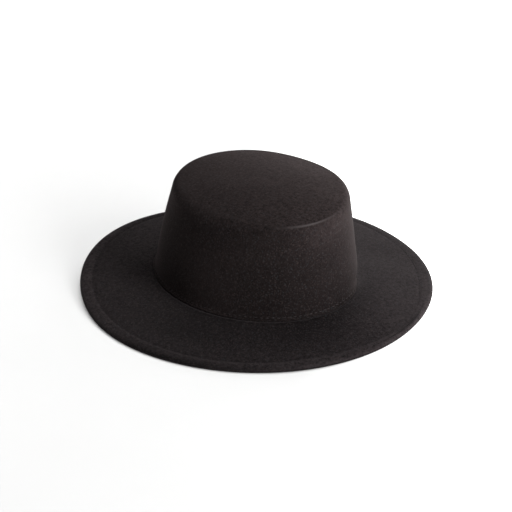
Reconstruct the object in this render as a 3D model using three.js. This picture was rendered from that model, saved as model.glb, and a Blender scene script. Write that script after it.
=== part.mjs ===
// A flat-topped felt hat with a wide round brim, resting on its rim.
// Millimetres, +Z up. The front of the hat faces -Y, X runs across it, and z = 0 is the surface it rests on.
import * as THREE from "three";

// Driving sizes. Half widths run along X and half lengths along Y.
const felt = 2.4; // thickness of the crown and of one layer of the brim
const gap = 0.3; // left between pieces that meet
const segments = 96; // steps round every piece
const footHeight = 16.4; // level of the seam between crown and brim

// The outside of the crown: an oval foot, a smaller oval tip that sits a little forward, and a soft shoulder.
const foot = { halfWidth: 89.2, halfLength: 102, forward: 1 };
const tip = { halfWidth: 75, halfLength: 87.3, forward: 5.6, rise: 87.2, dome: 4 };
const shoulder = { radius: 8.7, from: 10, to: 83, steps: 5 }; // an arc, in degrees above the level
const flare = { reach: 1.5, height: 8, middle: 3 }; // the wall turns outward just above the seam
const footEdge = 0.8; // rounding of the crown's lower edge, which leaves a ditch at the seam

// The brim: a nearly round rim and the stitched groove inside it, each an oval of its own.
const rim = { halfWidth: 160, halfLength: 161, x: 0, y: 0 };
const groove = { halfWidth: 148.8, halfLength: 152.8, x: 1.2, y: -1.5, depth: 0.7, reach: 1.2 };
const hem = { overlap: 2.5, bevel: 0.3 }; // the turned-under layer ends inside the groove, cut at a slant
const rimHeight = 3.85; // upper face at the rim: less than two layers, because the felt is pressed flat below
const restBand = 2; // width of the pressed flat inside the rounded edge
const lip = { out: 1.6, up: 0.35, end: 4 }; // a low ridge on the brim beside the seam

// At the back left the rim stands clear of the surface.
const lift = { height: 7.7, at: 203, halfSpan: 63 }; // degrees from the front, by way of +X

// Inside the foot: the brim's turned-up collar, and the sweatband inside that.
const collar = { thickness: 1.5, height: 7 };
const sweatband = { thickness: 0.9, height: 31 };

const feltBlack = new THREE.MeshStandardMaterial({ color: 0x262324, roughness: 0.95, metalness: 0 });
const bandBlack = new THREE.MeshStandardMaterial({ color: 0x1d1b1d, roughness: 0.8, metalness: 0 });

const radians = THREE.MathUtils.degToRad;
const lerp = THREE.MathUtils.lerp;

// The crown's outer wall as an oval, at a height above the seam.
const wallTop = tip.rise - shoulder.radius;
function wallAt(height) {
  const share = height / wallTop;
  const flareShare = Math.max(0, 1 - Math.max(height, 0) / flare.height) ** 2;
  const reach = flare.reach * (flareShare - 1) * (1 - share);
  return {
    halfWidth: lerp(foot.halfWidth, tip.halfWidth, share) + reach,
    halfLength: lerp(foot.halfLength, tip.halfLength, share) + reach,
    x: 0,
    y: -foot.forward - tip.forward * share,
  };
}

// A level oval of the tip. Share 1 is the tip's outer edge, and 0 its middle.
function tipAt(share) {
  const inset = shoulder.radius * (1 - Math.cos(radians(shoulder.to)));
  return {
    halfWidth: (tip.halfWidth - inset) * share,
    halfLength: (tip.halfLength - inset) * share,
    x: 0,
    y: -foot.forward - tip.forward,
  };
}

// How far the rim stands clear of the surface, by angle from the front.
function liftAt(angle) {
  const turned = THREE.MathUtils.euclideanModulo(angle - radians(lift.at) + Math.PI, 2 * Math.PI);
  const share = Math.min(1, Math.abs(turned - Math.PI) / radians(lift.halfSpan));
  return (lift.height * (1 + Math.cos(Math.PI * share))) / 2;
}

// A point on an oval that is moved outward by a distance, at an angle from the front.
function onOval(oval, out, angle) {
  return {
    x: (oval.halfWidth + out) * Math.sin(angle) + oval.x,
    y: -(oval.halfLength + out) * Math.cos(angle) + oval.y,
  };
}

// The brim's upper face: a straight slope from the seam down to the rim's upper edge.
function brimFace(point, angle) {
  const start = onOval(wallAt(0), 0, angle);
  const end = onOval(rim, 0, angle);
  const inner = Math.hypot(start.x, start.y);
  const share = (Math.hypot(point.x, point.y) - inner) / (Math.hypot(end.x, end.y) - inner);
  return lerp(footHeight, rimHeight + liftAt(angle), Math.max(0, share));
}

// Heights of a section's rows: above the seam, or above the brim's upper face and never under the surface.
const aboveSeam = (row) => footHeight + row.up;
const aboveBrim = (row, point, angle) => Math.max(0, brimFace(point, angle) + row.up);

// A ring-shaped piece: a lathe whose every row follows its own oval.
// A row is { oval, out, up }: an oval, how far outside it, and how high.
function ringed(rows, heightOf) {
  const outline = rows.map((row) => new THREE.Vector2(row.oval.halfWidth + row.out, row.up));
  const geometry = new THREE.LatheGeometry(outline, segments);
  const position = geometry.attributes.position;
  for (let i = 0; i < position.count; i++) {
    const row = rows[i % rows.length];
    const column = Math.floor(i / rows.length) % segments;
    const angle = (column * 2 * Math.PI) / segments;
    const point = onOval(row.oval, row.out, angle);
    position.setXYZ(i, point.x, point.y, heightOf(row, point, angle));
  }
  geometry.computeVertexNormals();
  return geometry;
}

// The crown's outside, or its inside when it is moved in by the felt: wall, shoulder arc and domed tip.
const wallHeights = [flare.middle, flare.height, wallTop / 2];
const tipShares = [0.75, 0.5, 0.25, 0];
function crownFace(inward) {
  const wall = wallHeights.map((height) => ({ oval: wallAt(height), out: -inward, up: height }));
  const wallEnd = wallAt(wallTop);
  const radius = shoulder.radius - inward;
  const arc = Array.from({ length: shoulder.steps }, (_, step) => {
    const angle = radians(lerp(shoulder.from, shoulder.to, step / (shoulder.steps - 1)));
    const out = radius * Math.cos(angle) - shoulder.radius;
    return { oval: wallEnd, out, up: wallTop + radius * Math.sin(angle) };
  });
  const edge = arc[arc.length - 1].up;
  const top = tipShares.map((share) => {
    return { oval: tipAt(share), out: 0, up: edge + tip.dome * (1 - share * share) };
  });
  return [...wall, ...arc, ...top];
}

function makeCrown() {
  const edge = [
    { oval: wallAt(0), out: -felt, up: gap },
    { oval: wallAt(0), out: -footEdge, up: gap },
    { oval: wallAt(0), out: 0, up: gap + footEdge },
  ];
  return ringed([...crownFace(felt).reverse(), ...edge, ...crownFace(0)], aboveSeam);
}

// From the collar over the upper face and the rounded edge to the hem and the underside.
// Listed this way round the faces would point inward, so the rows are turned round at the end.
function makeBrim() {
  const seam = wallAt(0);
  const outer = -felt - gap;
  const inner = outer - collar.thickness;
  const edge = [90, 45, 0, -45, -90].map((degrees) => {
    const angle = radians(degrees);
    return { oval: rim, out: felt * (Math.cos(angle) - 1), up: felt * (Math.sin(angle) - 1) };
  });
  const middle = (groove.halfWidth - foot.halfWidth) / 2;
  const collarHeights = [collar.height, flare.middle];
  const collarFace = (out) => collarHeights.map((height) => ({ oval: wallAt(height), out, up: height }));
  const rows = [
    ...collarFace(outer),
    { oval: seam, out: outer, up: 0 },
    { oval: seam, out: 0, up: -footEdge / 2 },
    { oval: seam, out: lip.out, up: lip.up },
    { oval: seam, out: lip.end, up: 0 },
    { oval: groove, out: -middle, up: 0 },
    { oval: groove, out: -groove.reach, up: 0 },
    { oval: groove, out: 0, up: -groove.depth },
    { oval: groove, out: groove.reach, up: 0 },
    ...edge,
    { oval: rim, out: -felt - restBand, up: -2 * felt },
    { oval: groove, out: -hem.overlap, up: -2 * felt },
    { oval: groove, out: -hem.overlap - hem.bevel, up: -felt },
    { oval: groove, out: -middle, up: -felt },
    { oval: seam, out: -footEdge, up: -felt },
    { oval: seam, out: inner, up: 0 },
    ...collarFace(inner).reverse(),
  ];
  return ringed([...rows, rows[0]].reverse(), aboveBrim);
}

function makeSweatband() {
  const outer = -felt - gap - collar.thickness - gap;
  const inner = outer - sweatband.thickness;
  const heights = [0, flare.middle, flare.height, sweatband.height];
  const face = (out) => heights.map((height) => ({ oval: wallAt(height), out, up: height }));
  const rows = [...face(inner).reverse(), ...face(outer)];
  return ringed([...rows, rows[0]], aboveSeam);
}

const hat = new THREE.Group();
hat.name = "hat";
for (const [name, geometry, material] of [
  ["crown", makeCrown(), feltBlack],
  ["brim", makeBrim(), feltBlack],
  ["sweatband", makeSweatband(), bandBlack],
]) {
  const mesh = new THREE.Mesh(geometry, material);
  mesh.name = name;
  hat.add(mesh);
}

export default hat;
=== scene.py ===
import math

import bpy
import bmesh
import numpy as np
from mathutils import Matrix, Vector, noise


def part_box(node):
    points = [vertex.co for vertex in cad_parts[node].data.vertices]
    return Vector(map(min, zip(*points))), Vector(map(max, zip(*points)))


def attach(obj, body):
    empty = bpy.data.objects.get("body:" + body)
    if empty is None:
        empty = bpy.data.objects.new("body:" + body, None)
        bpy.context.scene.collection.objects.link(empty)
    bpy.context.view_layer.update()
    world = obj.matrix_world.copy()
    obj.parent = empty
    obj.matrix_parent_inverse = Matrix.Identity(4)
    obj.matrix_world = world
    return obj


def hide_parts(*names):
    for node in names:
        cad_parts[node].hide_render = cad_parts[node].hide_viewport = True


# A black felt hat with a nearly flat tip and a wide stitched brim.
# Metres, +Z up, and the hat's front faces -Y.
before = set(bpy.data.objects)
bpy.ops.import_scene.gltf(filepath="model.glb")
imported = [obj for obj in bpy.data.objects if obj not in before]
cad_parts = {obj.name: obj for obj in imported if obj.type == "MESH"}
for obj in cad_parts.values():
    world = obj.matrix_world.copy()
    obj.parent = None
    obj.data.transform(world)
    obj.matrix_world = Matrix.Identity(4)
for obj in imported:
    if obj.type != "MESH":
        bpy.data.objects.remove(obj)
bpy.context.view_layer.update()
print("frame loaded:", ", ".join(sorted(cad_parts)))


# Shader maths

class Value:
    # a shader socket that takes part in Python expressions
    def __init__(self, finish, socket):
        self.finish = finish
        self.socket = socket

    def math(self, operation, first, second):
        return self.finish.add("ShaderNodeMath", {"operation": operation}, {0: first, 1: second})

    def __add__(self, other):
        return self.math("ADD", self, other)

    def __radd__(self, other):
        return self.math("ADD", other, self)

    def __sub__(self, other):
        return self.math("SUBTRACT", self, other)

    def __rsub__(self, other):
        return self.math("SUBTRACT", other, self)

    def __mul__(self, other):
        return self.math("MULTIPLY", self, other)

    def __rmul__(self, other):
        return self.math("MULTIPLY", other, self)


class Finish:
    # a material with one Principled shader, and the nodes that feed it
    def __init__(self, name):
        self.material = bpy.data.materials.new(name)
        self.material.use_nodes = True
        self.tree = self.material.node_tree
        self.shader = self.tree.nodes["Principled BSDF"]

    # a node of any type: settings first, then its sockets' values or links, and its first output comes back
    def add(self, kind, settings=None, sockets=None, output=0):
        node = self.tree.nodes.new(kind)
        for name, setting in (settings or {}).items():
            setattr(node, name, setting)
        for place, value in (sockets or {}).items():
            self.join(value, node.inputs[place])
        return Value(self, node.outputs[output])

    def join(self, value, socket):
        if isinstance(value, Value):
            self.tree.links.new(value.socket, socket)
        else:
            socket.default_value = value

    def set(self, **sockets):
        for name, value in sockets.items():
            self.join(value, self.shader.inputs[name.replace("_", " ")])

    # between two colours by a share
    def blend(self, share, first, second, kind="MIX"):
        settings = {"data_type": "RGBA", "blend_type": kind}
        return self.add("ShaderNodeMix", settings, {0: share, 6: first, 7: second}, output=2)

    # from one range of a value to 0..1, softly
    def between(self, value, low, high):
        settings = {"interpolation_type": "SMOOTHSTEP"}
        return self.add("ShaderNodeMapRange", settings, {"Value": value, "From Min": low, "From Max": high})

    def place(self):
        return self.add("ShaderNodeTexCoord", output="Object")

    def shifted(self, place, by):
        return self.add("ShaderNodeVectorMath", {"operation": "ADD"}, {0: place, 1: by})

    def clouds(self, place, size, detail=2.0, rough=0.5):
        sockets = {"Vector": place, "Scale": 1 / size, "Detail": detail, "Roughness": rough}
        return self.add("ShaderNodeTexNoise", None, sockets)

    def bump(self, height, strength, depth):
        return self.add("ShaderNodeBump", None, {"Strength": strength, "Distance": depth, "Height": height})

    def mark(self, name):
        return self.add("ShaderNodeAttribute", {"attribute_name": name}, output="Fac")

    def grey(self, value):
        return self.add("ShaderNodeCombineColor", None, {0: value, 1: value, 2: value})


def colour(red, green, blue):
    return (red, green, blue, 1.0)


feltLook = {
    "crown": colour(0.0089, 0.0067, 0.0066),
    "brim": colour(0.0083, 0.0067, 0.0070),
    "warmFleck": colour(0.056, 0.043, 0.041),  # fibres that catch the light
    "coolFleck": colour(0.037, 0.040, 0.044),
    # painted highlight: the felt's colour along the crease
    "pressed": colour(0.036, 0.029, 0.029),
    "crownSheen": colour(1.0, 0.79, 0.79),
    "brimSheen": colour(1.0, 0.86, 0.885),
    "sheen": 0.052,
    "sheenRoughness": 0.5,
    "gloss": 0.03,
    "roughness": 0.92,
    "pressedSmooth": 0.25,  # taken off the roughness at a crease
    "pressedCoat": 0.30,
    "coatRoughness": 0.5,
    "grain": {"size": 0.0030, "detail": 3.0, "rough": 0.85},
    "mottle": {"size": 0.022, "detail": 3.0, "rough": 0.55},
    "fleck": {"size": 0.0015, "detail": 1.0},
    "warmShift": (0.31, 0.17, 0.05),  # the two kinds of fleck lie in different places
    "coolShift": (-0.23, 0.11, 0.19),
    "fleckRange": (0.55, 0.75),
    "fleckShare": 0.26,
    "shade": 0.8,  # share of the felt's colour before grain and mottle
    "mottleDepth": 0.4,
    "wallContrast": 1.5,  # of the grain
    "levelContrast": 4.6,  # on the tip and the brim, which are more rubbed
    "wear": 1.1,  # how much paler the felt is where the worn mark is 1; the mark holds wear on the hem strip and painted light and shade elsewhere
    "bumpStrength": 0.7,
    "bumpDepth": 0.00018,
}


# Pressed wool felt: short matted fibres with lighter flecks.
# It is smoother and glossier where it is creased, and its colour there is painted paler as a painted
# highlight.
def feltFinish(name, base, sheen):
    look = feltLook
    felt = Finish(name)
    place = felt.place()
    grain = felt.clouds(place, **look["grain"])
    mottle = felt.clouds(place, **look["mottle"])
    warm = felt.clouds(felt.shifted(place, look["warmShift"]), **look["fleck"])
    cool = felt.clouds(felt.shifted(place, look["coolShift"]), **look["fleck"])
    pressed = felt.mark("pressed")
    contrast = look["wallContrast"] + (look["levelContrast"] - look["wallContrast"]) * felt.mark("level")
    shade = contrast * (grain - 0.5) + look["mottleDepth"] * mottle + look["shade"]
    # wear, and painted light and shade, from the worn mark
    worn = 1.0 + look["wear"] * felt.mark("worn")
    ground = felt.blend(1.0, base, felt.grey(shade * worn), "MULTIPLY")
    for fleck, paint in ((warm, look["warmFleck"]), (cool, look["coolFleck"])):
        ground = felt.blend(look["fleckShare"] * felt.between(fleck, *look["fleckRange"]), ground, paint)
    # the crease is painted paler: a painted highlight
    ground = felt.blend(pressed, ground, look["pressed"])
    felt.set(Base_Color=ground, Normal=felt.bump(grain, look["bumpStrength"], look["bumpDepth"]))
    felt.set(Roughness=look["roughness"] - look["pressedSmooth"] * pressed)
    felt.set(Coat_Weight=look["pressedCoat"] * pressed, Coat_Roughness=look["coatRoughness"])
    felt.set(Sheen_Weight=look["sheen"], Sheen_Roughness=look["sheenRoughness"], Sheen_Tint=sheen)
    felt.set(Specular_IOR_Level=look["gloss"])
    return felt.material


threadLook = {
    "strand": {"size": 0.0004, "detail": 2.0, "rough": 0.6},
    "pale": 2,  # the palest strands are this many times as pale
    "roughness": 0.8,
    "gloss": 0.05,
    "bumpStrength": 0.5,
    "bumpDepth": 0.0001,
}


# Dull black sewing thread of fine twisted strands
def threadFinish(name, base):
    look = threadLook
    thread = Finish(name)
    strand = thread.clouds(thread.place(), **look["strand"])
    pale = colour(*(part * look["pale"] for part in base[:3]))
    thread.set(Base_Color=thread.blend(strand, base, pale))
    thread.set(Normal=thread.bump(strand, look["bumpStrength"], look["bumpDepth"]))
    thread.set(Roughness=look["roughness"], Specular_IOR_Level=look["gloss"])
    return thread.material


bandLook = {
    "dark": colour(0.007, 0.0066, 0.0068),
    "pale": colour(0.016, 0.0152, 0.0155),
    "worn": colour(0.013, 0.012, 0.012),
    "wornShare": 0.4,
    "thread": {"size": 0.0005, "detail": 2.0, "rough": 0.6},
    "patch": {"size": 0.012, "detail": 3.0},
    "roughness": 0.62,
    "gloss": 0.3,
    "sheen": 0.04,
    "bumpStrength": 0.4,
    "bumpDepth": 0.0001,
}


# Ribbed ribbon: a fine cross thread between the ribs, and patches of wear
def bandFinish(name):
    look = bandLook
    cloth = Finish(name)
    place = cloth.place()
    thread = cloth.clouds(place, **look["thread"])
    wear = cloth.clouds(place, **look["patch"])
    ground = cloth.blend(thread, look["dark"], look["pale"])
    cloth.set(Base_Color=cloth.blend(wear * look["wornShare"], ground, look["worn"]))
    cloth.set(Normal=cloth.bump(thread, look["bumpStrength"], look["bumpDepth"]))
    cloth.set(Roughness=look["roughness"], Specular_IOR_Level=look["gloss"], Sheen_Weight=look["sheen"])
    return cloth.material


fibreLook = {
    "dark": colour(0.008, 0.0065, 0.0065),
    "pale": colour(0.024, 0.020, 0.0196),
    "patch": {"size": 0.0011, "detail": 1.0},
    "paleRange": (0.45, 0.75),
    "roughness": 0.7,
    "gloss": 0.2,
}


# Loose wool fibres, some of them paler
def fibreFinish(name):
    look = fibreLook
    fibre = Finish(name)
    pale = fibre.between(fibre.clouds(fibre.place(), **look["patch"]), *look["paleRange"])
    fibre.set(Base_Color=fibre.blend(pale, look["dark"], look["pale"]))
    fibre.set(Roughness=look["roughness"], Specular_IOR_Level=look["gloss"])
    return fibre.material


# Rings: every piece is a row of ovals

steps = 720  # columns round a ring
angles = np.arange(steps) * 2 * math.pi / steps  # from the front, by way of +X
degrees = (np.degrees(angles) + 180) % 360 - 180
crownLow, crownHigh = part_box("crown")
brimLow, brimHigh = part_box("brim")

fit = {
    "felt": 0.0024,  # thickness of one layer
    "gap": 0.0003,  # between pieces that meet
    "merge": 1e-6,  # points nearer than this become one, at the pole of the tip
}
seamHeight = crownLow.z - fit["gap"]


# an oval in plan: half width, half length and its middle, each with one value for every angle
def oval(halfWidth, halfLength, x=0.0, y=0.0):
    return np.array([value + np.zeros(steps) for value in (halfWidth, halfLength, x, y)])


# the same oval moved outward, by one distance or by one for every angle
def wider(shape, out):
    return shape + oval(out, out)


def mix(first, second, share):
    return first + (second - first) * share


# from 0 to 1 between two values, with soft ends
def ease(value, low, high):
    share = np.clip((value - low) / (high - low), 0, 1)
    return share * share * (3 - 2 * share)


# 1 at one angle, in degrees from the front, and falling off on both sides of it
def near(place):
    turned = (degrees - place["at"] + 180) % 360 - 180
    return np.exp(-((turned / place["spread"]) ** 2))


# what a list of places adds up to, at every angle
def around(places, key):
    return sum(place[key] * near(place) for place in places)


def unit(vectors):
    length = np.linalg.norm(vectors, axis=-1, keepdims=True)
    return vectors / np.maximum(length, 1e-12)  # and never divided by zero


# an oval's point moved outward, at an angle from the front
def onOval(shape, out, angle):
    x = (shape[0] + out) * np.sin(angle) + shape[2]
    y = -(shape[1] + out) * np.cos(angle) + shape[3]
    return x, y


# points of a ring on a grid, a row for each (oval, out, up) and a column for each angle
def ringPoints(rows, heightOf):
    grid = np.zeros((len(rows), steps, 3))
    for index, (shape, out, up) in enumerate(rows):
        x, y = onOval(shape, out, angles)
        grid[index, :, 0] = x
        grid[index, :, 1] = y
        grid[index, :, 2] = heightOf(up, x, y)
    return grid


def ringNormals(grid):
    across = np.roll(grid, -1, 1) - np.roll(grid, 1, 1)
    along = np.gradient(grid, axis=0)
    return unit(np.cross(across, along))


# more columns, between those that are there
def refine(grid, times):
    after = np.roll(grid, -1, 1)
    finer = [mix(grid, after, part / times) for part in range(times)]
    return np.stack(finer, 2).reshape(len(grid), -1, 3)


def makeObject(name, points, faces, material):
    mesh = bpy.data.meshes.new(name)
    mesh.from_pydata(points, [], faces)
    piece = bpy.data.objects.new(name, mesh)
    bpy.context.scene.collection.objects.link(piece)
    mesh.materials.append(material)
    mesh.polygons.foreach_set("use_smooth", [True] * len(mesh.polygons))
    return piece


def dress(piece, slot, *nodes):
    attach(piece, "root")
    if nodes:
        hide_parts(*nodes)


# a mesh from a grid of ring points, with marks for its material
# its rows close into a loop, or end at a pole
def ringMesh(name, grid, material, closed, marks):
    rows, columns = grid.shape[:2]
    column = np.arange(columns)
    beside = (column + 1) % columns
    faces = []
    for row in range(rows if closed else rows - 1):
        above = (row + 1) % rows
        here = row * columns
        there = above * columns
        faces.append(np.stack([here + column, here + beside, there + beside, there + column], 1))
    piece = makeObject(name, grid.reshape(-1, 3).tolist(), np.concatenate(faces).tolist(), material)
    for mark, values in marks.items():
        attribute = piece.data.attributes.new(mark, "FLOAT", "POINT")
        attribute.data.foreach_set("value", values.reshape(-1).astype(np.float32))
    if not closed:
        form = bmesh.new()
        form.from_mesh(piece.data)
        bmesh.ops.remove_doubles(form, verts=form.verts, dist=fit["merge"])
        form.to_mesh(piece.data)
        form.free()
    return piece


# soft unevenness of the felt, by a smooth noise through space
def waves(grid, uneven):
    seed = uneven["seed"]
    shift = Vector((seed, seed * 2, seed * 3))
    flat = grid.reshape(-1, 3) / uneven["size"]
    values = [noise.noise(Vector(point) + shift) for point in flat]
    return uneven["depth"] * np.array(values).reshape(grid.shape[:2])


# Stitches and fuzz

# how strongly the thread pulls the felt in at each hole between stitches: 1 at a hole, 0 between holes
def pullAt(shape, stitch):
    x, y = onOval(shape, 0, angles)
    step = np.hypot(np.roll(x, -1) - x, np.roll(y, -1) - y)
    length = np.cumsum(step)
    phase = (length - step) / length[-1] * stitch["count"] % 1
    away = np.minimum(phase, 1 - phase) * length[-1] / stitch["count"]
    return np.exp(-((away / stitch["holeSize"]) ** 2))


# places of the stitches on a line of points round a ring,
# with the line's own direction and the surface's normal
def alongLine(line, normal, count):
    wrapped = np.concatenate([line, line[:1]])
    length = np.concatenate([[0], np.cumsum(np.linalg.norm(np.diff(wrapped, axis=0), axis=1))])
    place = (np.arange(count) + 0.5) * length[-1] / count
    column = np.interp(place, length, np.arange(steps + 1))
    before = np.floor(column).astype(int)
    share = (column - before)[:, None]
    here = line[before % steps]
    after = line[(before + 1) % steps]
    outward = unit(mix(normal[before % steps], normal[(before + 1) % steps], share))
    along = after - here
    along = unit(along - outward * (along * outward).sum(1, keepdims=True))
    return mix(here, after, share), along, outward


# one tube after another along lines of ring centres: (tubes, rings, 3) with the radius of each ring
def tubes(name, line, thick, outward, aside, sides, material):
    count, rings = line.shape[:2]
    turn = np.arange(sides) * 2 * math.pi / sides
    ring = (outward[:, None, None] * np.cos(turn)[None, None, :, None]
            + aside[:, None, None] * np.sin(turn)[None, None, :, None])
    points = (line[:, :, None] + ring * thick[..., None, None]).reshape(-1, 3)
    side = np.arange(sides)
    other = (side + 1) % sides
    first = np.arange(count)[:, None] * rings * sides
    faces = []
    for step in range(rings - 1):
        low = first + step * sides
        high = low + sides
        faces += np.stack([low + side, low + other, high + other, high + side], 2).reshape(-1, 4).tolist()
    faces += (first + side[::-1]).tolist()
    faces += (first + (rings - 1) * sides + side).tolist()
    return makeObject(name, points.tolist(), faces, material)


stitchShape = {
    "uneven": 0.05,  # how much the lengths differ
    "dive": 3.2,  # the ends go down into the felt by this power
    "taper": 0.35,  # the ends are this much thinner
    "taperPower": 4,
}


# a row of separate stitches: each a short thread that dips into the felt at both ends
def stitchRow(name, line, normal, look, material, seed, shows=None):
    chance = np.random.default_rng(seed)
    count = look["count"]
    centre, along, outward = alongLine(line, normal, count)
    bend = np.linspace(-1, 1, look["rings"])
    slant = chance.normal(0, look["slant"], count)[:, None]
    half = look["length"] / 2 * (1 + chance.normal(0, stitchShape["uneven"], count))
    wander = chance.normal(0, look["wander"], count)[:, None]
    if shows is not None:
        turn = np.arctan2(centre[:, 0], -centre[:, 1]) % (2 * math.pi)
        kept = np.interp(turn, angles, shows) > 0.5
        centre, along, outward = centre[kept], along[kept], outward[kept]
        slant, half, wander = slant[kept], half[kept], wander[kept]
    aside = np.cross(along, outward)
    along = along * np.cos(slant) + aside * np.sin(slant)
    aside = np.cross(along, outward)
    centre = centre + aside * wander
    ends = np.abs(bend)
    lift = look["proud"] - (look["proud"] + look["sink"]) * ends ** stitchShape["dive"]
    taper = 1 - stitchShape["taper"] * ends ** stitchShape["taperPower"]
    thick = look["thick"] / 2 * taper + np.zeros((len(centre), 1))
    middle = (centre[:, None] + along[:, None] * (half[:, None] * bend)[..., None]
              + outward[:, None] * lift[None, :, None])
    return tubes(name, middle, thick, outward, aside, look["sides"], material)


fuzz = {
    "length": (0.0006, 0.0019),
    "thick": 0.00004,
    "rise": (5, 38),  # degrees off the felt
    "bendAt": 0.55,  # share of the length
    "curl": (-0.05, 0.25),
    "taper": (1.0, 0.85, 0.15),  # at the root, the bend and the end
    "vary": (0.7, 1.3),  # of the thickness
    "sides": 3,
    "crown": {"count": 9000, "seed": 41},
    "brim": {"count": 8000, "seed": 42},
}


# short loose fibres, spread evenly over some rows of a ring
def growFuzz(name, grid, normal, rows, spread, material):
    chance = np.random.default_rng(spread["seed"])
    count = spread["count"]
    patch = grid[rows[0]:rows[1]]
    facing = normal[rows[0]:rows[1]]
    beside = np.roll(patch, -1, 1)
    area = np.linalg.norm(np.cross(beside[:-1] - patch[:-1], patch[1:] - patch[:-1]), axis=2).reshape(-1)
    row, column = np.divmod(chance.choice(len(area), count, p=area / area.sum()), steps)
    across = chance.random((count, 1))
    up = chance.random((count, 1))
    root = mix(mix(patch[row, column], beside[row, column], across),
               mix(patch[row + 1, column], beside[row + 1, column], across), up)
    outward = facing[row, column]
    lean = chance.normal(size=(count, 3))
    lean = unit(lean - outward * (lean * outward).sum(1, keepdims=True))
    rise = np.radians(chance.uniform(*fuzz["rise"], count))[:, None]
    length = chance.uniform(*fuzz["length"], count)[:, None]
    way = lean * np.cos(rise) + outward * np.sin(rise)
    aside = unit(np.cross(way, outward))
    curl = np.cross(aside, way) * length * chance.uniform(*fuzz["curl"], (count, 1))
    root = root - outward * fuzz["thick"] / 2
    line = np.stack([root, root + way * length * fuzz["bendAt"] + curl, root + way * length], 1)
    thick = fuzz["thick"] / 2 * np.array(fuzz["taper"]) * chance.uniform(*fuzz["vary"], (count, 1))
    line[..., 2] = np.maximum(line[..., 2], fuzz["thick"])
    return tubes(name, line, thick, np.cross(aside, way), aside, fuzz["sides"], material)


# Crown

crown = {
    "tip": (0.075, 0.0873),  # half width and half length
    "tipForward": 0.0056,  # the tip sits this far in front of the foot
    "rise": 0.0872,
    "dome": 0.0050,
    "shoulder": 0.0087,  # radius of the edge round the tip
    # places in degrees from the front, and how far they spread to both sides
    "edges": [  # where the edge round the tip is crisper or softer
        {"radius": 0.0042, "at": 0, "spread": 30},
        {"radius": 0.0056, "at": 92, "spread": 34},
        {"radius": 0.0150, "at": -78, "spread": 30},
    ],
    "sags": [  # the tip's edge hangs lower at the front, and is uneven behind
        {"drop": 0.0021, "at": -6, "spread": 46},
        {"drop": 0.0014, "at": 100, "spread": 24},
        {"drop": -0.0008, "at": 180, "spread": 30},
    ],
    "full": {"out": 0.0010, "at": 74, "spread": 32},  # a fuller wall just below the tip
    "lean": {"inset": 0.0034, "from": 0.040, "at": -18, "spread": 50},
    "belly": {"out": 0.0013, "at": -135, "spread": 50},
    "pinch": {"depth": 0.0046, "below": 0.016, "at": 58, "spread": 24},
    "ridge": {"at": -6, "spread": 19, "height": 0.0004, "width": 1.9},  # a slight raised crease on the tip's edge, glossier and painted paler as a painted highlight
    "wear": [  # painted light and shade on the wall, each growing between two heights: paler where light falls, darker where shade falls, as at the foot
        {"share": 0.80, "at": 8, "spread": 26, "heights": (0.050, 0.078)},
        {"share": 0.35, "at": 45, "spread": 24, "heights": (0.056, 0.080)},
        {"share": -0.45, "at": 30, "spread": 40, "heights": (0.044, 0.004)},
        {"share": 0.50, "at": -72, "spread": 18, "heights": (0.072, 0.040)},
        {"share": -0.45, "at": -122, "spread": 20, "heights": (0.082, 0.050)},
        {"share": -0.20, "at": -44, "spread": 22, "heights": (0.060, 0.044)},
    ],
    "tipPaintedLight": {"middle": 0.22, "share": 0.55, "at": 58},  # painted light: the tip is painted paler, and more so towards this side
    "flareReach": 0.0015,  # the wall turns out this much at its foot
    "flareHeight": 0.008,
    "footEdge": 0.0008,  # rounding of the lower edge
    "flowEdge": 0.0002,  # and where the crown flows into the brim, where it also sinks this far into it
    "stitchHeight": 0.0027,
    "pull": 0.00025,  # depth of the hollow at each stitch hole
    "seamPull": 0.00012,  # and all along the stitched line
    "seamWidth": 0.0011,
    "uneven": {"depth": 0.0004, "size": 0.045, "seed": 3.0, "from": 0.0004, "over": 0.004},
    "edgeRows": 5,
    "footRows": (0.0016, 0.0088, 10),  # from, to and how many
    "wallRows": 26,
    "shoulderRows": 13,
    "wallLean": 8,  # degrees, where the wall meets the edge of the tip
    "tipStart": 84,
    "tipRows": (0.93, 0, 13),
    "tipLevel": 2.5,  # the sags of the tip's edge die out inward by this power
}
footStitch = {
    "count": 120, "length": 0.0034, "thick": 0.00040, "proud": 0.00006, "sink": 0.0005,
    "slant": 0.05, "wander": 0.00008, "rings": 9, "sides": 8, "holeSize": 0.0010,
    # painted sheen: the black thread is painted paler so its stitches show as light dashes
    "colour": colour(0.024, 0.021, 0.0216),
    "seed": 11,
}
footMiddle = (crownHigh.y + crownLow.y) / 2
footOval = oval((crownHigh.x - crownLow.x) / 2, (crownHigh.y - crownLow.y) / 2, 0, footMiddle)
wallTop = crown["rise"] - crown["shoulder"]
tipMiddle = footOval[3] - crown["tipForward"]
tipOval = oval(*crown["tip"], 0, tipMiddle)

# on the right side the crown flows into the brim, with no ditch and no stitches in sight
flow = {"from": (20, 38), "to": (135, 165)}
flows = ease(degrees, *flow["from"]) * (1 - ease(degrees, *flow["to"]))


# the wall's oval at a height, or at one height for each angle
def wallAt(height):
    lean, belly, pinch = crown["lean"], crown["belly"], crown["pinch"]
    height = height + np.zeros(steps)
    share = height / wallTop
    flare = np.maximum(0, 1 - np.maximum(height, 0) / crown["flareHeight"]) ** 2
    out = crown["flareReach"] * (flare - 1) * (1 - share)
    over = np.clip((height - lean["from"]) / (crown["rise"] - lean["from"]), 0, 1)
    out -= lean["inset"] * near(lean) * over ** 2
    out += belly["out"] * near(belly) * np.sin(math.pi * np.clip(share, 0, 1))
    out += crown["full"]["out"] * near(crown["full"]) * share ** 2
    out -= pinch["depth"] * near(pinch) * (1 - ease(height, 0, pinch["below"]))
    return wider(mix(footOval, tipOval, share), out)


def aboveSeam(up, x, y):
    return seamHeight + up


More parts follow.
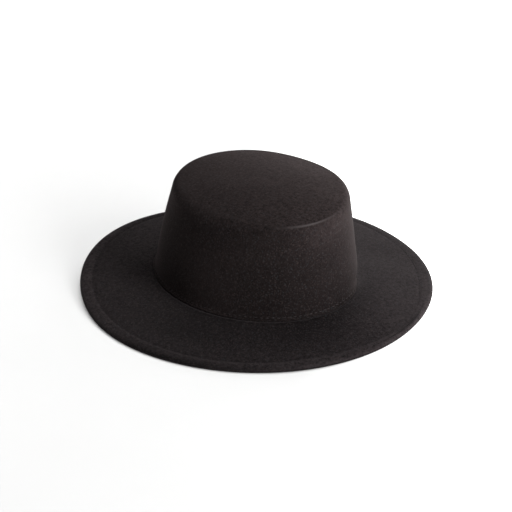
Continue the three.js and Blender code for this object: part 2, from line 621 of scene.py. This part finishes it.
# the crown's outer face, or its inner face when it is moved in by the felt
def crownFace(inward):
    lean = crown["lean"]
    softer = [(edge["radius"] - crown["shoulder"]) * near(edge) for edge in crown["edges"]]
    radius = crown["shoulder"] + sum(softer)
    rise = crown["rise"] - around(crown["sags"], "drop")
    top = rise - radius
    steeper = 2 * lean["inset"] * near(lean) * (top - lean["from"]) / (crown["rise"] - lean["from"]) ** 2
    start = math.radians(crown["wallLean"]) + steeper
    top = rise - radius * (1 - np.sin(start))
    rows = [(wallAt(height), -inward, height) for height in np.linspace(*crown["footRows"])]
    foot = rows[-1][2]
    for share in np.linspace(0, 1, crown["wallRows"] + 1)[1:]:
        height = mix(foot, top, share)
        rows.append((wallAt(height), -inward, height))
    wallEnd = wallAt(top)
    for share in np.linspace(0, 1, crown["shoulderRows"] + 1)[1:]:
        angle = mix(start, math.radians(crown["tipStart"]), share)
        out = (radius - inward) * np.cos(angle) - radius * np.cos(start)
        rows.append((wallEnd, out, top - radius * np.sin(start) + (radius - inward) * np.sin(angle)))
    edge = wider(wallEnd, rows[-1][1])
    rim = rows[-1][2]
    for share in np.linspace(*crown["tipRows"]):
        shape = edge * share
        shape[3] = tipMiddle
        level = mix(rim.max(), rim, share ** crown["tipLevel"])
        rows.append((shape, 0.0, level + crown["dome"] * (1 - share ** 2)))
    return rows


# how near each row is to the crease on the tip's edge, which also carries a painted highlight
def ridgeMark(rows, first):
    ridge = crown["ridge"]
    middle = first + crown["footRows"][2] + crown["wallRows"] + crown["shoulderRows"] // 2
    away = np.exp(-(((np.arange(rows) - middle) / ridge["width"]) ** 2))
    return away[:, None] * near(ridge)


# painted light and shade at each point of the crown, which the crown's worn mark carries
def crownPaintedLightAndShade(grid, up):
    wall = 1 - ease(up, wallTop, crown["rise"])
    worn = sum(place["share"] * near(place) * ease(up, *place["heights"]) for place in crown["wear"])
    tip = crown["tipPaintedLight"]
    turn = math.radians(tip["at"])
    side = (grid[..., 0] * math.sin(turn) - grid[..., 1] * math.cos(turn)) / crown["tip"][0]
    return worn * wall + (tip["middle"] + tip["share"] * side) * (1 - wall)


# the crown's lower edge, from its inside to its outside
def footEdgeRows(seam):
    bend = mix(crown["footEdge"], crown["flowEdge"], flows)
    low = mix(fit["gap"], -crown["flowEdge"], flows)
    rows = [(seam, -fit["felt"], fit["gap"])]
    for angle in np.radians(np.linspace(-90, 0, crown["edgeRows"])):
        rows.append((seam, bend * (math.cos(angle) - 1), low + bend * (1 + math.sin(angle))))
    return rows


# how far the outer face stands out or in: soft unevenness, and the line that the stitches pull in
def crownOffset(grid, seam, up, outer):
    uneven = crown["uneven"]
    growing = np.clip((up - uneven["from"]) / uneven["over"], 0, 1)
    offset = waves(grid, uneven) * growing
    line = np.exp(-(((up - crown["stitchHeight"]) / crown["seamWidth"]) ** 2)) * outer * (1 - flows)
    return offset - line * (crown["pull"] * pullAt(seam, footStitch) + crown["seamPull"])


def makeCrown():
    seam = wallAt(0)
    edge = footEdgeRows(seam)
    inside = crownFace(fit["felt"])[::-1]
    rows = inside + edge + crownFace(0)
    grid = ringPoints(rows, aboveSeam)
    normal = ringNormals(grid)
    first = len(inside) + len(edge)  # the outer face's first row
    up = np.array([np.zeros(steps) + row[2] for row in rows])
    outer = np.arange(len(rows))[:, None] > len(inside)
    pressed = ridgeMark(len(rows), first)
    offset = crownOffset(grid, seam, up, outer) + crown["ridge"]["height"] * pressed
    grid = grid + normal * offset[..., None]
    # on the crown the worn mark holds only painted light and shade
    marks = {"pressed": pressed, "level": np.clip(normal[..., 2], 0, 1), "worn": crownPaintedLightAndShade(grid, up)}
    felt = feltFinish("crown_felt", feltLook["crown"], feltLook["crownSheen"])
    piece = ringMesh("crown_shell", grid, felt, False, marks)
    dress(piece, "crown_felt", "crown")
    return grid, normal, first


def makeFootStitches(grid, normal, first):
    up = grid[first:first + crown["footRows"][2], 0, 2] - seamHeight
    row = first + int(np.argmin(np.abs(up - crown["stitchHeight"])))
    thread = threadFinish("foot_thread", footStitch["colour"])
    seed = footStitch["seed"]
    piece = stitchRow("foot_stitches", grid[row], normal[row], footStitch, thread, seed, 1 - flows)
    dress(piece, "crown_felt")


crownGrid, crownNormal, crownFirst = makeCrown()
print("crown shaped")
makeFootStitches(crownGrid, crownNormal, crownFirst)
print("foot stitched")

# Brim

brim = {
    "groove": (0.1488, 0.1528, 0.0012, -0.0015),  # half width, half length and middle
    "grooveDepth": 0.0004,
    "grooveReach": 0.0021,
    "grooveSide": 0.0046,  # the groove's rows reach this far to both sides
    "wander": [  # where the groove strays from its oval
        {"out": -0.0032, "at": -14, "spread": 26},
        {"out": 0.0012, "at": 24, "spread": 12},
        {"out": -0.0036, "at": 52, "spread": 22},
    ],
    "faint": [  # where the groove is pressed nearly flat
        {"share": 0.35, "at": -14, "spread": 40},
        {"share": 0.85, "at": 75, "spread": 50},
    ],
    "wear": [  # of the hem strip: paler with wear, and partly with painted light
        {"share": 1.0, "at": -150, "spread": 24},
        {"share": 0.45, "at": -112, "spread": 26},
        {"share": 0.55, "at": -25, "spread": 26},
        {"share": 0.55, "at": 22, "spread": 34},
    ],
    "facePaintedLightAndShade": [  # painted light and shade on the rest of the brim, each growing between two distances from the middle
        {"share": -0.52, "at": -4, "spread": 36, "away": (0.150, 0.108)},
        {"share": 0.60, "at": 32, "spread": 26, "away": (0.098, 0.130)},
        {"share": -0.35, "at": 108, "spread": 30, "away": (0.150, 0.100)},
        {"share": -0.40, "at": -74, "spread": 22, "away": (0.142, 0.124)},
        {"share": 0.80, "at": -153, "spread": 22, "away": (0.160, 0.138)},
    ],
    "rollPaintedLightAndShade": [  # painted light and shade on the rolled edge: paler at the front right, darker at the front left
        {"share": 0.95, "at": 25, "spread": 50},
        {"share": -0.60, "at": -66, "spread": 36},
    ],
    "stripFrom": (-0.001, 0.003),  # the hem strip's wear and painted light grow across the groove
    "upward": 3,  # wear and painted light and shade fade out on faces that look less than a third of the way up
    "puff": 0.0005,  # the hem strip swells between the groove and the rim
    "rimHeight": 0.00385,
    "edgeWidth": 0.0042,  # the rim rolls over from here
    "edgeDrop": 0.0016,
    "edgePuff": 0.8,  # share of the swelling where the roll begins
    "undercut": 0.0032,  # the turned edge slants back in below its widest line
    "lift": {"height": 0.0077, "at": 203, "span": 63},  # at the back left the rim stands clear
    "raised": [
        {"up": 0.0025, "at": 118, "spread": 34},
        {"up": 0.0015, "at": -150, "spread": 42},
    ],
    "drawnIn": [
        {"out": -0.0006, "at": -115, "spread": 24},
        {"out": -0.0011, "at": -58, "spread": 30},
        {"out": -0.0006, "at": 24, "spread": 16},
        {"out": 0.0007, "at": 66, "spread": 26},
    ],
    "collarHeight": 0.007,
    "collarFoot": 0.0015,
    "collarThick": 0.0015,
    "restBand": 0.002,
    "hemOverlap": 0.0025,
    "underStart": 0.001,  # the underside goes on this far inside the hem's cut end
    "uneven": {"depth": 0.0005, "size": 0.05, "seed": 7.0},
    "even": {"seam": 0.014, "rim": 0.020},  # but smoother and smoother this near to the seam and the rim
    "fillet": {"up": 0.0012, "reach": 0.0022},  # where the brim turns up into the wall
    "collarRows": 5,
    "faceRows": 24,
    "grooveRows": 15,
    "stripRow": 0.6,  # share of the way from the groove to the roll
    "rollRows": 9,
    "turnedRows": 7,
    "hemRows": (0.0, 0.3, 0.6, 0.85),  # shares of the way from the rim to the groove
    # places by angle from the front and distance from the middle
    "dents": [
        {"at": -121, "away": 0.117, "size": 0.013, "depth": 0.0007},
        {"at": -98, "away": 0.128, "size": 0.020, "depth": 0.0006},
        {"at": -30, "away": 0.130, "size": 0.024, "depth": 0.0005},
        {"at": 70, "away": 0.124, "size": 0.022, "depth": 0.0006},
        {"at": 160, "away": 0.130, "size": 0.026, "depth": 0.0006},
    ],
}
# rows beside the seam, outward and up, that make a ditch and a low lip
seamProfile = [
    (-0.0012, -0.0002), (0.0, -0.0004), (0.0003, -0.0003), (0.0007, -0.00005), (0.0011, 0.0002),
    (0.0016, 0.00036), (0.0024, 0.0003), (0.0033, 0.00012), (0.0044, 0.0),
]
# the line of the lower stitches under the groove, outward and up
stitchProfile = [(0.0, 0.0002), (-0.0007, 0.0)]
# the hem's cut end, outward and up from its lower edge
cutProfile = [(0.0, 0.0), (-0.00025, 0.0003), (-0.0003, 0.0012), (-0.0003, 0.0024)]
# where the underside bends up into the collar, outward from the seam and up
bendProfile = [(-0.0020, -0.00192), (-0.00376, -0.00084)]
rimOval = oval((brimHigh.x - brimLow.x) / 2, (brimHigh.y - brimLow.y) / 2)
rimOval = wider(rimOval, around(brim["drawnIn"], "out"))
grooveOval = wider(oval(*brim["groove"]), around(brim["wander"], "out"))


def liftAt():
    lift = brim["lift"]
    turned = (degrees - lift["at"] + 180) % 360 - 180
    share = np.minimum(1, np.abs(turned) / lift["span"])
    return lift["height"] * (1 + np.cos(math.pi * share)) / 2 + around(brim["raised"], "up")


# distances from the middle to the seam and to the rim, at every angle
seamAway = np.hypot(*onOval(wallAt(0), 0, angles))
rimAway = np.hypot(*onOval(rimOval, 0, angles))
rimLevel = brim["rimHeight"] + liftAt()


def brimFace(x, y):
    share = (np.hypot(x, y) - seamAway) / (rimAway - seamAway)
    return mix(seamHeight, rimLevel, np.maximum(0, share))


def aboveBrim(up, x, y):
    return np.maximum(0, brimFace(x, y) + up)


# the ditch and the lip at the seam, or a smooth turn up into the wall where the crown flows into the brim
def seamRows(seam):
    fillet = brim["fillet"]
    rows = []
    for out, up in seamProfile:
        turnUp = fillet["up"] * math.exp(-max(0.0, out) / fillet["reach"])
        rows.append((seam, out, mix(up, turnUp, flows)))
    return rows


def grooveRows(puff, depth):
    side = brim["grooveSide"]
    rows = []
    for out in np.linspace(-side, side, brim["grooveRows"]):
        dip = math.exp(-((out / brim["grooveReach"]) ** 2))
        swell = puff * max(0.0, math.sin(math.pi / 2 * out / side))
        rows.append((grooveOval, out, swell - depth * dip))
    return rows


# the rim's upper edge, from the hem strip out to its widest line
def rollRows(puff):
    width = brim["edgeWidth"]
    strip = mix(wider(grooveOval, brim["grooveSide"]), wider(rimOval, -width), brim["stripRow"])
    rows = [(strip, 0.0, puff)]
    for angle in np.radians(np.linspace(90, 0, brim["rollRows"])):
        up = mix(-brim["edgeDrop"], puff * brim["edgePuff"], math.sin(angle))
        rows.append((rimOval, width * (math.cos(angle) - 1), up))
    return rows


# the rim below its widest line, and the pressed flat under it
def turnedRows():
    drop = brim["edgeDrop"]
    depth = 2 * fit["felt"]
    rows = []
    for angle in np.radians(np.linspace(0, -90, brim["turnedRows"])[1:]):
        out = brim["undercut"] * (math.cos(angle) - 1)
        rows.append((rimOval, out, -drop + (depth - drop) * math.sin(angle)))
    flat = wider(rimOval, -fit["felt"] - brim["restBand"])
    return rows + [(mix(flat, grooveOval, share), 0.0, -depth) for share in brim["hemRows"]]


# the lower stitch line, the hem's cut end and the underside up to the collar
def underRows(seam):
    felt = fit["felt"]
    hemEnd = wider(grooveOval, -brim["hemOverlap"])
    rows = [(grooveOval, out, -2 * felt + up) for out, up in stitchProfile]
    rows += [(hemEnd, out, -2 * felt + up) for out, up in cutProfile]
    start = wider(hemEnd, -brim["underStart"])
    last = wider(seam, -crown["footEdge"])
    rows += [(mix(start, last, share), 0.0, -felt) for share in np.linspace(0, 1, brim["faceRows"])]
    return rows + [(seam, out, up) for out, up in bendProfile]


# the whole section from the collar over the upper face and the rim to the underside and back to the collar,
# with the places of some rows
def brimRows():
    seam = wallAt(0)
    outer = -fit["felt"] - fit["gap"]
    inner = outer - brim["collarThick"]
    top = brim["collarHeight"]
    collar = np.linspace(top, brim["collarFoot"], brim["collarRows"])
    hemShare = 1 - around(brim["faint"], "share")
    puff = brim["puff"] * hemShare
    lip = wider(seam, seamProfile[-1][0])
    grooveStart = wider(grooveOval, -brim["grooveSide"])
    rows = [(wallAt(height), outer, height) for height in collar]
    rows += [(seam, outer, 0.0)] + seamRows(seam)
    places = {"seam": len(rows)}
    shares = np.linspace(0, 1, brim["faceRows"])[1:-1]
    rows += [(mix(lip, grooveStart, share), 0.0, 0.0) for share in shares]
    places["groove"] = len(rows) + brim["grooveRows"] // 2
    rows += grooveRows(puff, brim["grooveDepth"] * hemShare) + rollRows(puff)
    places["rim"] = len(rows)
    rows += turnedRows()
    places["under"] = len(rows)
    rows += underRows(seam) + [(seam, inner, 0.0)]
    rows += [(wallAt(height), inner, height) for height in collar[::-1]]
    rows += [(wallAt(top), (inner + outer) / 2, top)]
    return rows[::-1], {name: len(rows) - 1 - place for name, place in places.items()}


def dentsAt(x, y):
    sunk = np.zeros(x.shape)
    for dent in brim["dents"]:
        turn = math.radians(dent["at"])
        away = np.hypot(x - dent["away"] * math.sin(turn), y + dent["away"] * math.cos(turn))
        sunk += dent["depth"] * np.exp(-((away / dent["size"]) ** 2))
    return sunk


# how much paler or darker the brim's felt is: wear and painted light on the hem strip, painted light and
# shade on the rolled edge and on the rest of the upper face
def brimWearAndPaintedLight(away, normal):
    grooveAway = np.hypot(*onOval(grooveOval, 0, angles))
    start, end = brim["stripFrom"]
    strip = ease(away, grooveAway + start, grooveAway + end) * around(brim["wear"], "share")
    roll = ease(away, rimAway - brim["edgeWidth"], rimAway) * around(brim["rollPaintedLightAndShade"], "share")
    face = sum(place["share"] * near(place) * ease(away, *place["away"]) for place in brim["facePaintedLightAndShade"])
    return (strip + roll + face) * np.clip(normal[..., 2] * brim["upward"], 0, 1)


def makeBrim():
    rows, places = brimRows()
    grid = ringPoints(rows, aboveBrim)
    away = np.hypot(grid[..., 0], grid[..., 1])
    even = brim["even"]
    free = ease(away, seamAway, seamAway + even["seam"]) * ease(rimAway - away, 0, even["rim"])
    uneven = waves(grid * [1, 1, 0], brim["uneven"])
    grid[..., 2] += (uneven - dentsAt(grid[..., 0], grid[..., 1])) * free
    grid[..., 2] = np.maximum(grid[..., 2], 0)
    normal = ringNormals(grid)
    level = np.clip(normal[..., 2], 0, 1)
    # on the brim the worn mark holds the hem's wear and painted light and shade
    marks = {"pressed": np.zeros(away.shape), "level": level, "worn": brimWearAndPaintedLight(away, normal)}
    felt = feltFinish("brim_felt", feltLook["brim"], feltLook["brimSheen"])
    piece = ringMesh("brim_shell", grid, felt, True, marks)
    dress(piece, "brim_felt", "brim")
    return grid, normal, places


hemStitch = {
    "count": 270, "length": 0.0029, "thick": 0.00036, "proud": 0.00002, "sink": 0.0004,
    "slant": 0.04, "wander": 0.00006, "rings": 6, "sides": 6,
    "colour": colour(0.0045, 0.0040, 0.0042),
}
hemLines = [
    {"name": "hem_stitches_upper", "place": "groove", "seed": 21},
    {"name": "hem_stitches_lower", "place": "under", "seed": 22},
]


# one row in the groove and one on the underside, through both layers of the hem
def makeHemStitches(grid, normal, places):
    thread = threadFinish("hem_thread", hemStitch["colour"])
    for line in hemLines:
        row = places[line["place"]]
        piece = stitchRow(line["name"], grid[row], normal[row], hemStitch, thread, line["seed"])
        dress(piece, "brim_felt")


brimGrid, brimNormal, brimPlaces = makeBrim()
print("brim shaped")
makeHemStitches(brimGrid, brimNormal, brimPlaces)
print("hem stitched")

# Sweatband

band = {
    "thick": 0.0009,
    "height": 0.031,
    "topUp": 0.00018,  # the upper edge is rounded by this much
    "ribDepth": 0.00007,
    "ribColumns": 4,
    "finer": 3,  # times as many columns as the other rings
    "innerRows": 13,
    "outerRows": 5,
    "crowding": 1.5,  # the rows lie closer near the seam
    "stitchHeight": 0.0042,
}
bandStitch = {
    "count": 118, "length": 0.0033, "thick": 0.0004, "proud": 0.0001, "sink": 0.0004,
    "slant": 0.05, "wander": 0.0001, "rings": 6, "sides": 6,
    "colour": colour(0.0080, 0.0074, 0.0078),
    "seed": 31,
}


def makeBandStitches(grid, row):
    thread = threadFinish("band_thread", bandStitch["colour"])
    normal = ringNormals(grid)[row]
    piece = stitchRow("band_stitches", grid[row], normal, bandStitch, thread, bandStitch["seed"])
    dress(piece, "sweatband_cloth")


def makeSweatband():
    outer = -fit["felt"] - 2 * fit["gap"] - brim["collarThick"]
    inner = outer - band["thick"]
    height = band["height"]
    inside = height * np.linspace(1, 0, band["innerRows"]) ** band["crowding"]
    outside = height * np.linspace(0, 1, band["outerRows"]) ** band["crowding"]
    rows = [(wallAt(up), inner, up) for up in inside]
    rows += [(wallAt(up), outer, up) for up in outside]
    rows += [(wallAt(height), (inner + outer) / 2, height + band["topUp"])]
    grid = ringPoints(rows, aboveSeam)
    makeBandStitches(grid, int(np.argmin(np.abs(inside - band["stitchHeight"]))))
    grid = refine(grid, band["finer"])
    turn = np.arange(grid.shape[1]) * 2 * math.pi / band["ribColumns"]
    grid += ringNormals(grid) * (np.cos(turn) * band["ribDepth"])[None, :, None]
    piece = ringMesh("sweatband_ribbon", grid, bandFinish("sweatband_cloth"), True, {})
    dress(piece, "sweatband_cloth", "sweatband")


makeSweatband()
print("sweatband shaped")


def makeFuzz():
    wool = fibreFinish("wool_fibres")
    outside = (crownFirst, len(crownGrid) - 2)  # as far as the last rings round the pole
    dress(growFuzz("crown_fuzz", crownGrid, crownNormal, outside, fuzz["crown"], wool), "crown_felt")
    upper = (brimPlaces["rim"], brimPlaces["seam"])
    dress(growFuzz("brim_fuzz", brimGrid, brimNormal, upper, fuzz["brim"], wool), "brim_felt")


makeFuzz()
print("fuzz grown")

# Studio

paperLook = {
    "size": 12.0,
    "white": 0.30,
    "tint": (0.985, 0.985, 0.98),  # of the fibres in it
    "grain": {"size": 0.05, "detail": 2.0},
    "roughness": 0.9,
    "gloss": 0.1,
    "glow": 0.05,
    "paintedLightPool": {"glow": 2.0, "at": 62, "away": (0.0, 0.22)},  # a painted pool of light: the paper glows much brighter on this side, and that glow lights the hat too
}
studio = {
    "skyStrength": 0.07,
    "exposure": 2.6,
    # each lamp's azimuth and elevation in degrees, its distance, and its width and height in metres
    "lamps": {
        "key": {"from": (10, 27), "distance": 3.6, "size": (1.0, 2.6), "strength": 0.57, "roll": -54},
        "right": {"from": (68, 6), "distance": 3.2, "size": (1.0, 0.6), "strength": 0.14},
        "back_right": {"from": (114, 6), "distance": 3.2, "size": (1.9, 0.6), "strength": 0.23},
        "back": {"from": (156, 59), "distance": 2.2, "size": (1.4, 0.8), "strength": 0.19},
        "overhead": {"from": (0, 90), "distance": 3.0, "size": (6.0, 6.0), "strength": 1.57},
    },
    "floorOnly": "overhead",  # this lamp lights the paper alone
}
shot = {
    "lens": 174.4,
    "sensor": 36.0,
    "azimuth": -38.0,
    "elevation": 26.73,
    "distance": 2.235,
    "subject": Vector((0, -0.001, 0.055)),
    "aimDown": 0.0212,  # the middle of the picture lies below the subject
    "aimLeft": 0.0006,
}


def towards(azimuth, elevation):
    turn = math.radians(azimuth)
    rise = math.radians(elevation)
    return Vector((math.sin(turn) * math.cos(rise), -math.cos(turn) * math.cos(rise), math.sin(rise)))


# pale paper that glows a little, which keeps the shadows on it light, and glows much more on one side as a
# painted pool of light
def makeFloor():
    look = paperLook
    half = look["size"] / 2
    corners = [(-half, -half, 0), (half, -half, 0), (half, half, 0), (-half, half, 0)]
    white = look["white"]
    paper = Finish("paper")
    place = paper.place()
    grain = paper.clouds(place, **look["grain"])
    tinted = colour(*(white * part for part in look["tint"]))
    paper.set(Base_Color=paper.blend(grain, colour(white, white, white), tinted))
    paper.set(Roughness=look["roughness"], Specular_IOR_Level=look["gloss"])
    paintedLightPool = look["paintedLightPool"]
    turn = math.radians(paintedLightPool["at"])
    way = {0: place, 1: (math.sin(turn), -math.cos(turn), 0)}
    away = paper.add("ShaderNodeVectorMath", {"operation": "DOT_PRODUCT"}, way, output="Value")
    glow = look["glow"] + paintedLightPool["glow"] * paper.between(away, *paintedLightPool["away"])
    paper.set(Emission_Color=paper.grey(glow), Emission_Strength=1.0)
    floor = makeObject("floor", corners, [(0, 1, 2, 3)], paper.material)
    return floor


# a lamp whose light on a face turned towards it is its strength, at any distance
def makeLamp(name, spec):
    lamp = bpy.data.lights.new(name, "AREA")
    lamp.shape = "RECTANGLE"
    lamp.size, lamp.size_y = spec["size"]
    lamp.energy = studio["exposure"] * spec["strength"] * (math.pi * spec["distance"]) ** 2
    holder = bpy.data.objects.new(name, lamp)
    bpy.context.scene.collection.objects.link(holder)
    back = towards(*spec["from"])
    holder.location = back * spec["distance"]
    holder.rotation_euler = back.to_track_quat("Z", "Y").to_euler()
    holder.rotation_euler.rotate_axis("Z", math.radians(spec.get("roll", 0)))
    holder.visible_camera = False
    return holder


def makeLights(floor):
    world = bpy.data.worlds.new("room")
    bpy.context.scene.world = world
    world.use_nodes = True
    sky = world.node_tree.nodes["Background"]
    sky.inputs["Color"].default_value = colour(1.0, 1.0, 1.0)
    sky.inputs["Strength"].default_value = studio["skyStrength"]
    lamps = {name: makeLamp(name, spec) for name, spec in studio["lamps"].items()}
    lit = bpy.data.collections.new("lit_by_overhead")
    lit.objects.link(floor)
    lamps[studio["floorOnly"]].light_linking.receiver_collection = lit


def makeCamera():
    lens = bpy.data.cameras.new("camera")
    lens.lens = shot["lens"]
    lens.sensor_width = shot["sensor"]
    camera = bpy.data.objects.new("camera", lens)
    bpy.context.scene.collection.objects.link(camera)
    back = towards(shot["azimuth"], shot["elevation"])
    turn = math.radians(shot["azimuth"])
    right = Vector((math.cos(turn), math.sin(turn), 0))
    up = back.cross(right)
    camera.location = shot["subject"] + back * shot["distance"]
    aim = shot["subject"] - up * shot["aimDown"] - right * shot["aimLeft"]
    camera.rotation_euler = (camera.location - aim).to_track_quat("Z", "Y").to_euler()
    bpy.context.scene.camera = camera


makeLights(makeFloor())
makeCamera()
bpy.context.scene.view_settings.view_transform = "Standard"
print("studio set")
